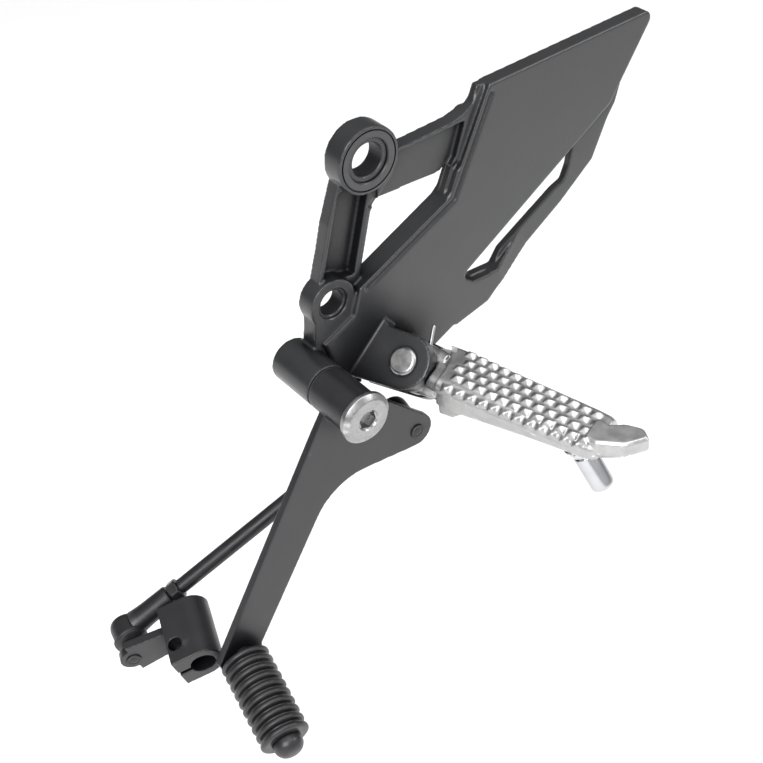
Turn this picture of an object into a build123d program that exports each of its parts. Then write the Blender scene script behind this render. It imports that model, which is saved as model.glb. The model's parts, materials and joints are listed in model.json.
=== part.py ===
from build123d import *
import math
import os

# Left-hand rider footrest with heel guard, folding peg, shift lever and shift link.
# Millimetres. The origin is the centre of the upper mounting bore on the inboard face.
# -Y points outboard (away from the motorcycle), +X points to the rear, +Z points up.
# Heights (H_...) are outboard distances from the inboard mounting face.

os.makedirs("parts", exist_ok=True)

# ---------------------------------------------------------------- driving dimensions
# start and length of cuts that pass right through a piece
CUT_FROM, CUT_LENGTH = -5.0, 85.0
# mounting bosses (X, Z)
UPPER = (0.0, 0.0)
LOWER = (-19.5, -65.2)
UPPER_R, UPPER_BORE_R, UPPER_H = 15.9, 7.85, 11.0
UPPER_STEP_R, UPPER_STEP_DEPTH = 10.3, 1.2
UPPER_RING_R, RING_W, RING_DEPTH = 14.4, 0.7, 0.6
LOWER_R, LOWER_BORE_R, LOWER_H = 12.0, 6.15, 10.0
LOWER_STEP_R, LOWER_STEP_DEPTH = 7.6, 1.0

# lever pivot
PIVOT = (-35.0, -95.0)
PIVOT_R = 10.75
PIVOT_BACK, PIVOT_FRONT = -2.5, 25.0
PIVOT_THREAD_R = 4.0

# casting levels
H_SPINE, SPINE_CHANNEL = 7.0, 5.2
H_ARM_BACK, H_ARM_WEB, H_ARM_RIM = 1.5, 5.5, 9.0
H_GUARD_BACK, H_RAIL, H_GUARD = 4.0, 8.0, 12.0
EDGE_BACK, EDGE_H = 0.8, 11.0
WEB_BACK, WEB_H = 1.0, 9.0
RAIL_TIP_R, SLOT_CORNER_R, GUARD_TIP_R, GUARD_TOP_R = 3.0, 1.6, 4.0, 7.0

# peg clevis: the pin's centre, the fold axis and the peg's direction
PEG_PIVOT = Vector(13.8, -29.0, -104.1)
PEG_DIR = Vector(0.300, -0.954, 0.045).normalized()
FOLD_AXIS = Vector(-0.731, -0.170, 0.661)
FOLD_AXIS = (FOLD_AXIS - PEG_DIR * FOLD_AXIS.dot(PEG_DIR)).normalized()
TREAD_TURN = 40.0
EAR_R, EAR_T, EAR_GAP = 13.0, 8.0, 14.3
EAR_ROOT, EAR_DROP, EAR_RISE, EAR_RISE_AT = 26.0, 1.5, 8.5, 13.5
EAR_OUTLINE = [(0, EAR_R), (-EAR_RISE_AT, EAR_R), (-EAR_ROOT, EAR_R + EAR_RISE)]
EAR_OUTLINE += [(-EAR_ROOT, -EAR_R - EAR_DROP), (0, -EAR_R)]
PIN_R, PIN_HEAD_R, PIN_HEAD_T = 4.0, 6.8, 2.4
PIN_TAIL, PIN_CHAMFER = 2.5, 0.7
CLIP_R, CLIP_EYE_T, CLIP_EYE_R, CLIP_EYE_BORE_R, CLIP_EYE_AT = 1.0, 1.5, 2.6, 1.2, 7.4
CLIP_STANDS, CLIP_ROOM = 3.0, 0.1
PIN_WASHER_R, PIN_WASHER_T, WASHER_GAP = 7.0, 1.0, 0.05
SPRING_R, SPRING_WIRE_R, SPRING_LEG = 5.5, 0.9, 20.0
COIL_PITCH, LEG_LEAN, SPRING_ROOM = 1.53, 1.2, 0.8
LEG_AT, LEG_SLOT, LEG_ROOM = COIL_PITCH, 3.0, 1.5
LEG_SWEEP_FROM, LEG_SWEEP = 12, 82
LEG_SLOT_FOOT = (3.5, -7.0)
RUN = 0.06

# foot peg: distances along the peg start at the fold axis, heights are square to the tread
LUG_T, LUG_SLOT = 14.0, 6.4
LUG_R, LUG_REACH = 12.2, 17.0
TREAD_START, TREAD_H, TREAD_FALL = 19.0, 10.0, 0.07
SKIRT_T, KEEL_HALF = 7.0, 8.0
CROWN_SHARE, SHOULDER_W, SHOULDER_DROP, SHOULDER_END, SKIRT_STEP = 0.55, 1.2, 0.9, 2.4, (2.5, 1.5)
# body stations: distance, half width, top and keel
NECK = [(14.6, 11.0, 8.5, -9.0), (22.0, 12.8, 8.5, -12.3)]
BODY = [(19.0, 13.4, 10.0, -12.6), (30.0, 13.2, 9.2, -12.6), (60.0, 12.7, 7.1, -10.4)]
BODY += [(82.0, 12.3, 5.6, -9.5), (92.0, 12.0, 4.9, -9.5), (97.0, 10.8, 4.5, -6.5)]
BODY_LEAN = -0.02
STOP_HALF = 8.0
STOP = [(15.0, -4.0), (15.0, -16.0), (22.0, -16.0), (27.0, -12.0), (27.0, -4.0)]
TOOTH_COLUMNS, TOOTH_PITCH, ROW_PITCH = 12, 6.0, 5.2
ROW_START, ROW_LEAN, ROW_SHIFT = -0.7, -0.065, (0.3, 0.7)
TOOTH_GAP = 0.1
TOOTH_H, TOOTH_SINK, TOOTH_TAPER = 1.7, 1.0, 40
NUB_TOP, NUB_LOW = 6.5, -6.0
NUB = [(92.0, -10.5), (98.0, -11.5), (110.0, -7.0), (117.0, 1.2), (112.0, 6.0), (104.0, 5.0)]
NUB += [(98.0, 1.0), (92.0, 3.0)]
NUB_FOOT = [(92.0, -8.0), (98.0, -8.0), (106.0, -4.0), (110.0, 0.5), (107.0, 3.0), (101.0, 2.5)]
NUB_FOOT += [(97.0, 1.0), (92.0, 2.0)]
FEELER_AT, FEELER_DROP, FEELER_TILT = 83.0, 11.1, 29.0
FEELER_R, FEELER_LENGTH = 5.6, 25.0
FEELER_HEX_R, FEELER_HEX_T, FEELER_SEAT = 6.5, 3.5, 6.5
FEELER_THREAD_R, FEELER_THREAD_DEPTH, THREAD_RUNOUT = 3.0, 8.0, 0.5
FEELER_ROOM, FEELER_TIP_FLAT = 0.1, 0.6

# shift lever
LEVER_TUBE_FRONT = 50.5
H_PLATE_BACK, H_PLATE_FRONT = 33.0, 37.0
LEVER_BORE_R = 8.1
EAR_STUD = (7.2, -133.4)
LEVER_EAR_R = 8.8
TOE = (-96.0, -217.5)
TOE_END_R = 11.2
TOE_DIR = Vector(-0.14, -0.945, -0.29).normalized()
TOE_RUBBER_R, TOE_RUBBER_LENGTH, TOE_RIBS = 12.0, 45.0, 10
RUBBER_START, RIB_PITCH, RIB_W, RIB_DEPTH = 1.6, 4.6, 2.8, 2.0
RUBBER_GAP = 0.3
SPIGOT_R, SPIGOT_BACK = 5.5, 5.5
KNOB_R, KNOB_LENGTH, KNOB_ROUND = 7.3, 7.5, 4.5
TOE_PLANE = Plane(origin=(TOE[0], -H_PLATE_FRONT, TOE[1]), z_dir=TOE_DIR)

# pivot hardware
BUSH_R, BUSH_BORE_R = 8.0, 4.2
BOLT_HEAD_R, BOLT_HEAD_T, HEX_AF, HEX_DEPTH = 12.5, 4.5, 8.0, 4.0
WASHER_T, WASHER_INSET = 0.8, 0.4
HEAD_GAP, BOLT_CHAMFER, BOLT_END = 0.3, 1.0, 2.0
SEAL_INSET, SEAL_W, SEAL_IN_R = 1.5, 1.8, 6.8

# link rod
UPPER_BALL = Vector(7.2, -20.5, -133.4)
LOWER_BALL = Vector(-126.0, 20.0, -228.0)
BALL_R, STUD_R = 5.0, 3.0
NECK_R, COLLAR_R, COLLAR_T, STAKE_H = 2.6, 4.8, 2.6, 0.6
BALL_TO_LEVER = 12.5
SOCKET_R, SOCKET_BACK, SOCKET_FRONT, MOUTH_R = 7.6, 6.0, 6.6, 4.75
SHANK_R, SOCKET_LENGTH = 5.0, 28.0
BOOT_R, BOOT_END_R, BOOT_FROM, BOOT_TO = 8.4, 4.4, 5.1, 9.6
ROD_R, THREAD_R = 3.8, 3.0
NUT_AF, NUT_T, NUT_GAP = 10.0, 5.0, 1.0
ROD_START = 34.5
SOCKET_THREAD_DEPTH = 11.0

# shift arm
ARM_AXIS = Vector(-0.34, -0.93, -0.15).normalized()
ARM_DIR = Vector(0.856, -0.371, 0.360)
ARM_REACH, ARM_END_R = 32.1, 6.5
ARM_PLATE_T = 4.5
BALL_TO_PLATE = 13.0
BARREL_R, BARREL_LENGTH, BARREL_AHEAD = 10.0, 33.0, 19.0
JAW_REACH = 12.5
CLAMP_BORE_R, PINCH_R, SLIT_W = 6.0, 3.4, 2.2
PINCH_BACK, PINCH_SIDE = 10.0, 8.2


def face_plane(height):
    """Sketch plane parallel to the mounting face; local axes are X and Z."""
    return Plane.XZ.offset(height)


def write(part, name):
    part.label = name
    export_step(part, f"parts/{name}.step")


# ---------------------------------------------------------------- bracket casting
SPINE = [(-13.5, -8.0), (-19.2, -27.2), (-21.6, -39.1), (-26.5, -60.0), (-14.0, -66.0)]
SPINE += [(-3.0, -62.5), (4.0, -27.5), (10.0, -21.5), (9.0, -10.0)]
CHANNEL_TOP_LEFT, CHANNEL_TOP_RIGHT = (-13.4, -13.0), (3.2, -13.0)
CHANNEL_LOW_RIGHT, CHANNEL_LOW_LEFT = (-5.6, -57.0), (-22.2, -54.0)

ARM = [(6.0, -1.0), (22.0, -0.5), (48.0, 2.0), (54.0, 3.8), (58.5, 7.0), (62.0, 11.0), (64.5, 15.0)]
ARM += [(66.0, 8.0), (56.0, -16.0), (46.5, -20.5), (43.5, -22.5), (6.0, -23.5)]
ARM_POCKET = [(17.5, -2.2), (55.0, 0.4), (50.2, -16.2), (43.0, -26.0), (2.0, -26.0), (14.5, -12.0)]

GUARD = [(66.0, 15.8), (169.0, 24.4), (144.0, -17.7), (57.0, -78.0), (50.0, -106.0)]
GUARD += [(32.0, -116.0), (2.0, -116.0), (-20.0, -101.0), (-26.0, -84.0), (-9.5, -75.0)]
GUARD += [(-6.0, -62.0), (45.5, -33.6)]
# deep inner edge of the heel guard, along the triangular gap
EDGE = [(-6.0, -62.0), (43.0, -35.0), (46.0, -31.5), (49.5, -22.0), (53.0, -18.0), (57.0, -20.0)]
EDGE += [(50.0, -40.0), (-2.0, -69.0)]
# the arm's top corner is no deeper than the guard, and the guard covers the rail below its slot
CORNER_TRIM = [(50.0, 5.0), (60.0, 5.0), (66.0, 12.0), (68.0, 22.0), (50.0, 22.0)]
LOWER_GUARD = [(54.0, -80.0), (62.0, -85.2), (77.5, -85.2), (80.0, -92.6), (71.5, -100.8), (52.0, -106.5)]
WEB = [(-29.5, -68.0), (-30.5, -84.0), (-42.0, -95.0), (-32.0, -104.0), (-4.0, -116.0), (-6.0, -70.0)]
RAIL = [(62.0, 15.0), (162.0, 20.0), (151.5, -20.7), (147.2, -28.0), (139.3, -47.5), (120.2, -64.4)]
RAIL += [(88.9, -87.0), (71.5, -101.7), (50.0, -108.3), (36.0, -112.0), (34.0, -60.0)]
SLOT = [(127.0, -20.0), (123.2, -46.0), (120.6, -53.0), (114.7, -55.5), (81.7, -76.6)]
SLOT += [(77.0, -84.0), (63.0, -84.0), (56.0, -80.0), (60.0, -66.0)]

with BuildPart() as bracket:
    # spine with its deep channel
    with BuildSketch(face_plane(0)):
        with BuildLine():
            Polyline(*SPINE, close=True)
        make_face()
    extrude(amount=H_SPINE)
    with BuildSketch(face_plane(H_SPINE)):
        with BuildLine():
            Polyline(CHANNEL_TOP_LEFT, CHANNEL_TOP_RIGHT, CHANNEL_LOW_RIGHT, CHANNEL_LOW_LEFT, close=True)
        make_face()
    extrude(amount=-SPINE_CHANNEL, mode=Mode.SUBTRACT)

    # arm from the upper boss to the heel guard, with a shallow pocket under its rim
    with BuildSketch(face_plane(H_ARM_BACK)):
        with BuildLine():
            Polyline(*ARM, close=True)
        make_face()
    extrude(amount=H_ARM_RIM - H_ARM_BACK)
    with BuildSketch(face_plane(H_ARM_RIM)):
        with BuildLine():
            Polyline(*ARM_POCKET, close=True)
        make_face()
    extrude(amount=H_ARM_WEB - H_ARM_RIM, mode=Mode.SUBTRACT)
    with BuildSketch(face_plane(0)):
        with BuildLine():
            Polyline(*CORNER_TRIM, close=True)
        make_face()
    extrude(amount=H_GUARD_BACK, mode=Mode.SUBTRACT)

    # rail behind the heel guard, with its long slot
    with BuildSketch(face_plane(H_GUARD_BACK)) as rail_outline:
        with BuildLine():
            Polyline(*RAIL, close=True)
        make_face()
        fillet(rail_outline.vertices().group_by(Axis.X)[-1], radius=RAIL_TIP_R)
    extrude(amount=H_RAIL - H_GUARD_BACK)
    with BuildSketch(face_plane(H_GUARD_BACK)) as slot_outline:
        with BuildLine():
            Polyline(*SLOT, close=True)
        make_face()
        fillet(slot_outline.vertices(), radius=SLOT_CORNER_R)
    extrude(amount=H_RAIL - H_GUARD_BACK, mode=Mode.SUBTRACT)

    # heel guard plate
    with BuildSketch(face_plane(H_GUARD_BACK)) as guard_outline:
        with BuildLine():
            Polyline(*GUARD, close=True)
        make_face()
        corners = guard_outline.vertices()
        fillet(corners.sort_by(Axis.X)[-1], radius=GUARD_TIP_R)
        fillet(corners.sort_by(Axis.Y)[-2], radius=GUARD_TOP_R)
    extrude(amount=H_GUARD - H_GUARD_BACK)
    with BuildSketch(face_plane(H_GUARD_BACK)):
        with BuildLine():
            Polyline(*LOWER_GUARD, close=True)
        make_face()
    extrude(amount=H_GUARD - H_GUARD_BACK)

    with BuildSketch(face_plane(EDGE_BACK)):
        with BuildLine():
            Polyline(*EDGE, close=True)
        make_face()
    extrude(amount=EDGE_H - EDGE_BACK)

    # web from the lower boss to the lever pivot
    with BuildSketch(face_plane(WEB_BACK)):
        with BuildLine():
            Polyline(*WEB, close=True)
        make_face()
    extrude(amount=WEB_H)

    # clevis ears, square to the fold axis
    ear_plane = Plane(origin=PEG_PIVOT, x_dir=PEG_DIR, z_dir=FOLD_AXIS)
    for side in (-1, 1):
        base = side * (EAR_GAP / 2 + EAR_T / 2) - EAR_T / 2
        with BuildSketch(ear_plane.offset(base)):
            with BuildLine():
                Polyline(*EAR_OUTLINE, close=True)
            make_face()
            Circle(EAR_R)
        extrude(amount=EAR_T)

    # bosses and their bores
    for (x, z), radius, height in ((UPPER, UPPER_R, UPPER_H), (LOWER, LOWER_R, LOWER_H)):
        with BuildSketch(face_plane(0)):
            with Locations((x, z)):
                Circle(radius)
        extrude(amount=height)
    with BuildSketch(face_plane(PIVOT_BACK)):
        with Locations(PIVOT):
            Circle(PIVOT_R)
    extrude(amount=PIVOT_FRONT - PIVOT_BACK)
    with BuildSketch(face_plane(UPPER_H)):
        with Locations(UPPER):
            Circle(UPPER_RING_R)
            Circle(UPPER_RING_R - RING_W, mode=Mode.SUBTRACT)
    extrude(amount=-RING_DEPTH, mode=Mode.SUBTRACT)
    with BuildSketch(face_plane(UPPER_H)):
        with Locations(UPPER):
            Circle(UPPER_STEP_R)
    extrude(amount=-UPPER_STEP_DEPTH, mode=Mode.SUBTRACT)
    with BuildSketch(face_plane(LOWER_H)):
        with Locations(LOWER):
            Circle(LOWER_STEP_R)
    extrude(amount=-LOWER_STEP_DEPTH, mode=Mode.SUBTRACT)
    with BuildSketch(face_plane(CUT_FROM)):
        with Locations(UPPER):
            Circle(UPPER_BORE_R)
        with Locations(LOWER):
            Circle(LOWER_BORE_R)
    extrude(amount=CUT_LENGTH, mode=Mode.SUBTRACT)
    with BuildSketch(face_plane(CUT_FROM)):
        with Locations(PIVOT):
            Circle(PIVOT_THREAD_R)
    extrude(amount=CUT_LENGTH, mode=Mode.SUBTRACT)
    with BuildSketch(ear_plane):
        Circle(PIN_R)
    extrude(amount=EAR_GAP / 2 + 2 * EAR_T, both=True, mode=Mode.SUBTRACT)
write(bracket.part, "bracket_casting")

# ---------------------------------------------------------------- foot peg
PEG_UP = FOLD_AXIS.cross(PEG_DIR)
TREAD_UP = (
    FOLD_AXIS * math.cos(math.radians(TREAD_TURN)) + PEG_UP * math.sin(math.radians(TREAD_TURN))
)
TREAD_ACROSS = TREAD_UP.cross(PEG_DIR)
FEELER_UP = (
    TREAD_UP * math.cos(math.radians(FEELER_TILT)) - PEG_DIR * math.sin(math.radians(FEELER_TILT))
)
FEELER_BASE = PEG_PIVOT + PEG_DIR * FEELER_AT - TREAD_UP * FEELER_DROP


def body_plane(distance):
    """Plane across the peg, on its slightly leaning centre line; local Y is square to the tread."""
    middle = BODY_LEAN * (distance - TREAD_START)
    origin = PEG_PIVOT + PEG_DIR * distance + TREAD_ACROSS * middle
    return Plane(origin=origin, x_dir=TREAD_ACROSS, z_dir=PEG_DIR)


def body_outline(half, top, keel):
    """Outline across the peg: crowned tread, upright skirt and narrower keel."""
    right = [(half * CROWN_SHARE, top), (half - SHOULDER_W, top - SHOULDER_DROP)]
    right += [(half, top - SHOULDER_END), (half, top - SKIRT_T)]
    right += [(half - SKIRT_STEP[0], top - SKIRT_T - SKIRT_STEP[1]), (KEEL_HALF, keel)]
    return right + [(-x, y) for x, y in reversed(right)]


def tread_plane(height):
    """Plane square to the tread's upright; local axes run along and across the peg."""
    return Plane(origin=PEG_PIVOT + TREAD_UP * height, x_dir=PEG_DIR, z_dir=TREAD_UP)


tooth_plane = Plane(
    origin=PEG_PIVOT + PEG_DIR * TREAD_START + TREAD_UP * (TREAD_H - TOOTH_SINK),
    x_dir=PEG_DIR - TREAD_UP * TREAD_FALL + TREAD_ACROSS * ROW_LEAN,
    z_dir=TREAD_UP + PEG_DIR * TREAD_FALL,
)

with BuildPart() as peg:
    # lug between the clevis ears
    with BuildSketch(ear_plane.offset(-LUG_T / 2)):
        Circle(LUG_R)
        with Locations((LUG_REACH / 2, 0)):
            Rectangle(LUG_REACH, 2 * LUG_R - 2)
    extrude(amount=LUG_T)
    # smooth neck, then the tapering body
    for stations in (NECK, BODY):
        for distance, half, top, keel in stations:
            with BuildSketch(body_plane(distance)):
                with BuildLine():
                    Polyline(*body_outline(half, top, keel), close=True)
                make_face()
        loft(ruled=True)
    # stop block under the root
    with BuildSketch(Plane(origin=PEG_PIVOT, x_dir=PEG_DIR, z_dir=-TREAD_ACROSS)):
        with BuildLine():
            Polyline(*STOP, close=True)
        make_face()
    extrude(amount=STOP_HALF, both=True)
    # end nub, a skewed six-sided block with a rounded-in foot
    for height, outline in ((NUB_LOW, NUB_FOOT), (0.0, NUB), (NUB_TOP, NUB)):
        with BuildSketch(tread_plane(height)):
            with BuildLine():
                Polyline(*outline, close=True)
            make_face()
    loft(ruled=True)
    # pyramid teeth on the tread
    for row in range(-1, 3):
        first = TOOTH_PITCH * ROW_SHIFT[row % 2]
        with BuildSketch(tooth_plane):
            with Locations((first + TOOTH_PITCH * TOOTH_COLUMNS / 2, ROW_START + row * ROW_PITCH)):
                with GridLocations(TOOTH_PITCH, 1, TOOTH_COLUMNS, 1):
                    Rectangle(TOOTH_PITCH - TOOTH_GAP, ROW_PITCH - TOOTH_GAP)
        extrude(amount=TOOTH_H + TOOTH_SINK, taper=TOOTH_TAPER)
    # pin bore and the slot for the return spring
    with BuildSketch(ear_plane.offset(-LUG_T)):
        Circle(PIN_R)
    extrude(amount=2 * LUG_T, mode=Mode.SUBTRACT)
    with BuildSketch(ear_plane.offset(-LUG_SLOT / 2)):
        Circle(SPRING_R + SPRING_WIRE_R + SPRING_ROOM)
        with Locations((0, LUG_R)):
            Rectangle(2 * (SPRING_R + SPRING_WIRE_R + SPRING_ROOM), 2 * LUG_R)
    extrude(amount=LUG_SLOT, mode=Mode.SUBTRACT)
    # slot that the standing leg of the spring sweeps through as the peg folds
    with BuildSketch(ear_plane.offset(LEG_AT - LEG_SLOT / 2)):
        with BuildLine():
            sweep_arc = CenterArc(
                (0, 0), SPRING_LEG + LEG_ROOM, start_angle=LEG_SWEEP_FROM, arc_size=LEG_SWEEP,
            )
            Polyline(sweep_arc @ 1, (-LEG_ROOM, 0), LEG_SLOT_FOOT, sweep_arc @ 0)
        make_face()
    extrude(amount=LEG_SLOT, mode=Mode.SUBTRACT)
    # seat and threaded hole for the feeler
    with BuildSketch(Plane(origin=FEELER_BASE, z_dir=FEELER_UP)):
        Circle(FEELER_HEX_R)
    extrude(amount=FEELER_SEAT)
    with BuildSketch(Plane(origin=FEELER_BASE, z_dir=FEELER_UP)):
        Circle(FEELER_THREAD_R)
    extrude(amount=FEELER_THREAD_DEPTH + THREAD_RUNOUT, mode=Mode.SUBTRACT)
    with BuildSketch(Plane(origin=FEELER_BASE, z_dir=-FEELER_UP)):
        Circle(FEELER_HEX_R + FEELER_ROOM)
    extrude(amount=FEELER_LENGTH, mode=Mode.SUBTRACT)
write(peg.part, "foot_peg")

with BuildPart() as feeler:
    with BuildSketch(Plane(origin=FEELER_BASE, z_dir=FEELER_UP)):
        Circle(FEELER_THREAD_R)
    extrude(amount=FEELER_THREAD_DEPTH)
    with BuildSketch(Plane(origin=FEELER_BASE, z_dir=-FEELER_UP)):
        RegularPolygon(FEELER_HEX_R, 6)
    extrude(amount=FEELER_HEX_T)
    with BuildSketch(Plane(origin=FEELER_BASE, z_dir=-FEELER_UP)):
        Circle(FEELER_R)
    extrude(amount=FEELER_LENGTH)
    fillet(feeler.edges().filter_by(GeomType.CIRCLE).sort_by(Axis.Z)[0], radius=FEELER_R - FEELER_TIP_FLAT)
write(feeler.part, "peg_feeler")

# ---------------------------------------------------------------- clevis pin, washer, clip, spring
EAR_OUTER = EAR_GAP / 2 + EAR_T
CLIP_AT = EAR_OUTER + 3.2
fold_line = Axis(PEG_PIVOT, FOLD_AXIS)
with BuildPart() as pin:
    with BuildSketch(ear_plane.offset(-CLIP_AT - PIN_TAIL)):
        Circle(PIN_R - RUN)
    extrude(amount=CLIP_AT + PIN_TAIL + EAR_OUTER)
    with BuildSketch(ear_plane.offset(EAR_OUTER)):
        Circle(PIN_HEAD_R)
    extrude(amount=PIN_HEAD_T)
    chamfer(pin.faces().sort_by(fold_line)[-1].edges(), length=PIN_CHAMFER)
    with BuildSketch(Plane(origin=PEG_PIVOT - FOLD_AXIS * CLIP_AT, x_dir=FOLD_AXIS, z_dir=PEG_UP)):
        Circle(CLIP_R + CLIP_ROOM)
    extrude(amount=2 * PIN_R, both=True, mode=Mode.SUBTRACT)
write(pin.part, "peg_pivot_pin")

with BuildPart() as pin_washer:
    with BuildSketch(ear_plane.offset(-EAR_OUTER - WASHER_GAP)):
        Circle(PIN_WASHER_R)
        Circle(PIN_R, mode=Mode.SUBTRACT)
    extrude(amount=-PIN_WASHER_T)
write(pin_washer.part, "peg_pin_washer")

with BuildPart() as clip:
    clip_plane = Plane(origin=PEG_PIVOT - FOLD_AXIS * CLIP_AT, x_dir=FOLD_AXIS, z_dir=PEG_UP)
    with BuildSketch(clip_plane.offset(-PIN_R - CLIP_STANDS)):
        Circle(CLIP_R)
    extrude(amount=PIN_R + CLIP_STANDS + CLIP_EYE_AT - 2 * CLIP_EYE_BORE_R)
    # eye of the split pin
    with BuildSketch(Plane(origin=clip_plane.origin, x_dir=PEG_UP, z_dir=FOLD_AXIS).offset(-CLIP_EYE_T / 2)):
        with Locations((CLIP_EYE_AT, 0)):
            Circle(CLIP_EYE_R)
            Circle(CLIP_EYE_BORE_R, mode=Mode.SUBTRACT)
    extrude(amount=CLIP_EYE_T)
write(clip.part, "peg_pin_clip")

with BuildPart() as peg_spring:
    # closely wound coils round the pin, in the slot of the lug
    for turn in (-1, 0, 1):
        coil_plane = ear_plane.offset(turn * COIL_PITCH)
        with BuildSketch(Plane(origin=coil_plane.origin, x_dir=PEG_DIR, z_dir=PEG_UP)):
            with Locations((SPRING_R, 0)):
                Circle(SPRING_WIRE_R)
        revolve(axis=Axis(PEG_PIVOT, FOLD_AXIS))
    # leg that stands up beside the bracket
    leg_foot = coil_plane.origin + PEG_DIR * SPRING_R
    leg_tip = coil_plane.origin + PEG_DIR * LEG_LEAN + PEG_UP * SPRING_LEG
    leg_plane = Plane(origin=leg_foot, z_dir=(leg_tip - leg_foot).normalized())
    with BuildSketch(leg_plane):
        Circle(SPRING_WIRE_R)
    extrude(amount=(leg_tip - leg_foot).length)
write(peg_spring.part, "peg_return_spring")

# ---------------------------------------------------------------- shift lever
LEVER_OUTLINE = [(-45.0, -98.0), (-50.5, -107.5), (-108.5, -216.0), (-106.0, -223.0), (-91.5, -227.5)]
LEVER_OUTLINE += [(-83.5, -213.0), (-41.4, -139.4), (6.8, -142.2), (13.4, -127.2), (-26.5, -94.0)]
LEVER_BEND_R, LEVER_SHOULDER_R = 30, 8

with BuildPart() as lever:
    with BuildSketch(face_plane(PIVOT_FRONT + WASHER_T)):
        with Locations(PIVOT):
            Circle(PIVOT_R)
    extrude(amount=LEVER_TUBE_FRONT - PIVOT_FRONT - WASHER_T)
    with BuildSketch(face_plane(H_PLATE_BACK)) as lever_outline:
        with BuildLine():
            Polyline(*LEVER_OUTLINE, close=True)
        make_face()
        corners = lever_outline.vertices()
        fillet(corners.sort_by_distance((-41.4, -139.4))[0], radius=LEVER_BEND_R)
        fillet(corners.sort_by_distance((-50.5, -107.5))[0], radius=LEVER_SHOULDER_R)
        with Locations(EAR_STUD):
            Circle(LEVER_EAR_R)
        with Locations(TOE):
            Circle(TOE_END_R)
    extrude(amount=H_PLATE_FRONT - H_PLATE_BACK)
    with BuildSketch(face_plane(CUT_FROM)):
        with Locations(PIVOT):
            Circle(LEVER_BORE_R)
        with Locations(EAR_STUD):
            Circle(STUD_R)
    extrude(amount=CUT_LENGTH, mode=Mode.SUBTRACT)
    with BuildSketch(TOE_PLANE):
        Circle(SPIGOT_R)
    extrude(amount=3 * SPIGOT_R, both=True, mode=Mode.SUBTRACT)
write(lever.part, "shift_lever")

with BuildPart() as spigot:
    with BuildSketch(TOE_PLANE.offset(-SPIGOT_BACK)):
        Circle(SPIGOT_R)
    extrude(amount=SPIGOT_BACK + RUBBER_START + TOE_RUBBER_LENGTH)
    with BuildSketch(TOE_PLANE.offset(RUBBER_START + TOE_RUBBER_LENGTH)):
        Circle(KNOB_R)
    extrude(amount=KNOB_LENGTH)
    fillet(spigot.edges().group_by(Axis(TOE_PLANE.origin, TOE_DIR))[-1], radius=KNOB_ROUND)
write(spigot.part, "toe_spigot")

with BuildPart() as rubber:
    with BuildSketch(TOE_PLANE.offset(RUBBER_START)):
        Circle(TOE_RUBBER_R - RIB_DEPTH)
    extrude(amount=TOE_RUBBER_LENGTH)
    for rib in range(TOE_RIBS):
        with BuildSketch(TOE_PLANE.offset(RUBBER_START + rib * RIB_PITCH)):
            Circle(TOE_RUBBER_R)
        extrude(amount=RIB_W)
    with BuildSketch(TOE_PLANE):
        Circle(SPIGOT_R)
    extrude(amount=CUT_LENGTH, mode=Mode.SUBTRACT)
    # the inner end sits flat against the lever
    with BuildSketch(face_plane(H_PLATE_FRONT + RUBBER_GAP)):
        with Locations(TOE):
            Circle(2 * TOE_RUBBER_R)
    extrude(amount=-2 * TOE_RUBBER_R, mode=Mode.SUBTRACT)
write(rubber.part, "toe_rubber")

# ---------------------------------------------------------------- lever pivot hardware
def pivot_disc(height, radius, thickness, bore=0.0):
    """A round piece on the lever pivot, from one height outboard."""
    with BuildPart() as disc:
        with BuildSketch(face_plane(height)):
            with Locations(PIVOT):
                Circle(radius)
                if bore:
                    Circle(bore, mode=Mode.SUBTRACT)
        extrude(amount=thickness)
    return disc.part


BUSH_LENGTH = LEVER_TUBE_FRONT + HEAD_GAP - PIVOT_FRONT - WASHER_T
write(pivot_disc(PIVOT_FRONT, PIVOT_R - WASHER_INSET, WASHER_T, BUSH_BORE_R), "pivot_washer")

with BuildPart() as bush:
    with BuildSketch(face_plane(PIVOT_FRONT + WASHER_T)):
        with Locations(PIVOT):
            Circle(BUSH_R)
            Circle(BUSH_BORE_R, mode=Mode.SUBTRACT)
    extrude(amount=BUSH_LENGTH)
    for height in (PIVOT_FRONT + WASHER_T + SEAL_INSET, LEVER_TUBE_FRONT - SEAL_INSET - SEAL_W):
        with BuildSketch(face_plane(height - 0.1)):
            with Locations(PIVOT):
                Circle(BUSH_R + 1)
                Circle(SEAL_IN_R, mode=Mode.SUBTRACT)
        extrude(amount=SEAL_W + 0.2, mode=Mode.SUBTRACT)
write(bush.part, "pivot_bush")

for name, height in (
    ("pivot_seal_inner", PIVOT_FRONT + WASHER_T + SEAL_INSET),
    ("pivot_seal_outer", LEVER_TUBE_FRONT - SEAL_INSET - SEAL_W),
):
    write(pivot_disc(height, BUSH_R, SEAL_W, SEAL_IN_R), name)

with BuildPart() as bolt:
    head_at = LEVER_TUBE_FRONT + HEAD_GAP
    with BuildSketch(face_plane(head_at)):
        with Locations(PIVOT):
            Circle(BOLT_HEAD_R)
    extrude(amount=BOLT_HEAD_T)
    chamfer(bolt.faces().sort_by(Axis.Y)[0].edges(), length=BOLT_CHAMFER)
    with BuildSketch(face_plane(head_at)):
        with Locations(PIVOT):
            Circle(PIVOT_THREAD_R)
    extrude(amount=BOLT_END - head_at)
    with BuildSketch(face_plane(head_at + BOLT_HEAD_T)):
        with Locations(PIVOT):
            RegularPolygon(HEX_AF / 2, 6, major_radius=False)
    extrude(amount=-HEX_DEPTH, mode=Mode.SUBTRACT)
write(bolt.part, "pivot_bolt")

# ---------------------------------------------------------------- ball joints and link rod
ROD_DIR = (LOWER_BALL - UPPER_BALL).normalized()
ROD_SPAN = (LOWER_BALL - UPPER_BALL).length
OUTBOARD = Vector(0, -1, 0)


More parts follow.
